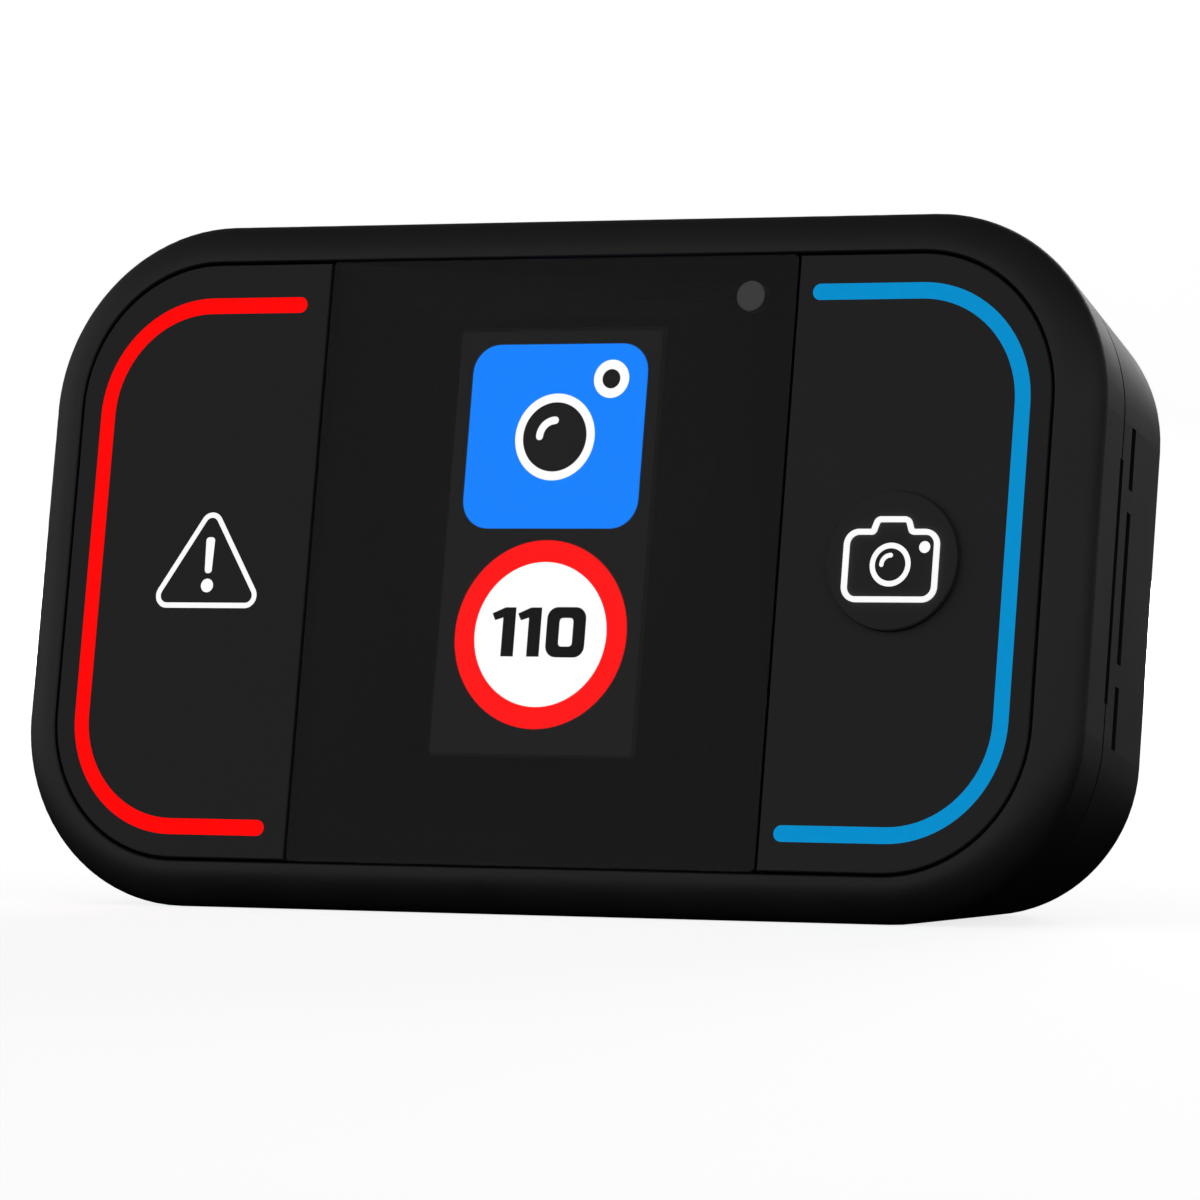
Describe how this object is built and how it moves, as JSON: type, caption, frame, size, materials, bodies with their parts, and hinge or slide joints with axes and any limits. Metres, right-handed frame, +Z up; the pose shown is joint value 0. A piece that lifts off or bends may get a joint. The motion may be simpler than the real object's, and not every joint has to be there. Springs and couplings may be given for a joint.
{
  "type": "radar detector",
  "caption": "Compact in-car radar detector with a colour display between two wide push panels, curved light guides and a magnetic back.",
  "frame": {"origin": "middle of the flat drafted underside that the case stands on", "axes": "+X to the right of the face, +Y from the face to the back, +Z up; standing on the underside leans the face back by the 9.5 degree draft"},
  "size_m": [0.068, 0.0234, 0.0404],
  "materials": {
    "case_black": "fine spark-eroded texture, soft satin sheen",
    "panel_black": "soft-touch matt, finer grain than the case",
    "seal_black": "dead matt",
    "guide_red": "lit translucent red, satin face",
    "guide_blue": "lit translucent blue, satin face",
    "symbol_white": "white moulded inlay, satin",
    "window_clear": "clear anti-glare acrylic",
    "sensor_grey": "smoky translucent",
    "display_glass": "black polarised glass",
    "mask_black": "black opaque film",
    "foam_grey": "open-cell foam",
    "steel": "bare stamped steel",
    "screw_steel": "nickel-plated steel",
    "magnet_nickel": "nickel-plated magnet",
    "flex_amber": "polyimide film",
    "board_green": "solder mask over glass laminate",
    "chip_black": "moulded epoxy",
    "ceramic_white": "glazed ceramic",
    "connector_cream": "moulded nylon",
    "led_white": "white ceramic body with clear dome",
    "switch_metal": "plated steel cover",
    "plunger_black": "moulded nylon",
    "silicone_grey": "soft silicone",
    "battery_foil": "aluminium laminate pouch",
    "lead_red": "insulated wire",
    "speaker_black": "moulded box, paper cone",
    "mesh_black": "acoustic mesh",
    "pad_rubber": "matt non-slip rubber"
  },
  "bodies": {
    "case": {"front_bezel": "case_black", "rear_shell": "case_black", "case_seal": "seal_black", "case_screws": "screw_steel", "left_switch": "switch_metal", "right_switch": "switch_metal", "left_leds": "led_white", "right_leds": "led_white", "display_window": "window_clear", "sensor_lens": "sensor_grey", "light_sensor": "chip_black", "window_mask": "mask_black", "display_panel": "display_glass", "display_backlight": "steel", "display_foam": "foam_grey", "display_retainer": "steel", "retainer_screws": "screw_steel", "display_flex": "flex_amber", "display_connector": "connector_cream", "main_board": "board_green", "processor": "chip_black", "radio_shield": "steel", "radio_antenna": "ceramic_white", "board_chips": "chip_black", "usb_socket": "screw_steel", "battery": "battery_foil", "battery_pad": "foam_grey", "battery_connector": "connector_cream", "battery_leads": "lead_red", "speaker": "speaker_black", "speaker_gasket": "foam_grey", "speaker_mesh": "mesh_black", "speaker_leads": "lead_red", "mount_magnets": "magnet_nickel", "keeper_plate": "steel", "mount_pad": "pad_rubber"},
    "left_button": {"left_button": "panel_black", "left_light_guide": "guide_red", "warning_symbol": "symbol_white", "left_button_pad": "silicone_grey"},
    "right_button": {"right_button": "panel_black", "right_light_guide": "guide_blue", "camera_symbol": "symbol_white", "right_button_pad": "silicone_grey"},
    "left_plunger": {"left_switch_plunger": "plunger_black"},
    "right_plunger": {"right_switch_plunger": "plunger_black"}
  },
  "joints": [
    {"name": "left_button_press", "type": "slide", "parent": "case", "child": "left_button", "axis": [0, 0.9863, -0.165], "range_m": [0, 0.0004], "stiffness_N_per_m": 3000},
    {"name": "left_switch_press", "type": "slide", "parent": "case", "child": "left_plunger", "axis": [0, 0.9863, -0.165], "range_m": [0, 0.0004]},
    {"name": "right_button_press", "type": "slide", "parent": "case", "child": "right_button", "axis": [0, 0.9863, -0.165], "range_m": [0, 0.0004], "stiffness_N_per_m": 3000},
    {"name": "right_switch_press", "type": "slide", "parent": "case", "child": "right_plunger", "axis": [0, 0.9863, -0.165], "range_m": [0, 0.0004]}
  ],
  "couplings": [
    {"joint": "left_switch_press", "follows": "left_button_press", "ratio": 1},
    {"joint": "right_switch_press", "follows": "right_button_press", "ratio": 1}
  ]
}
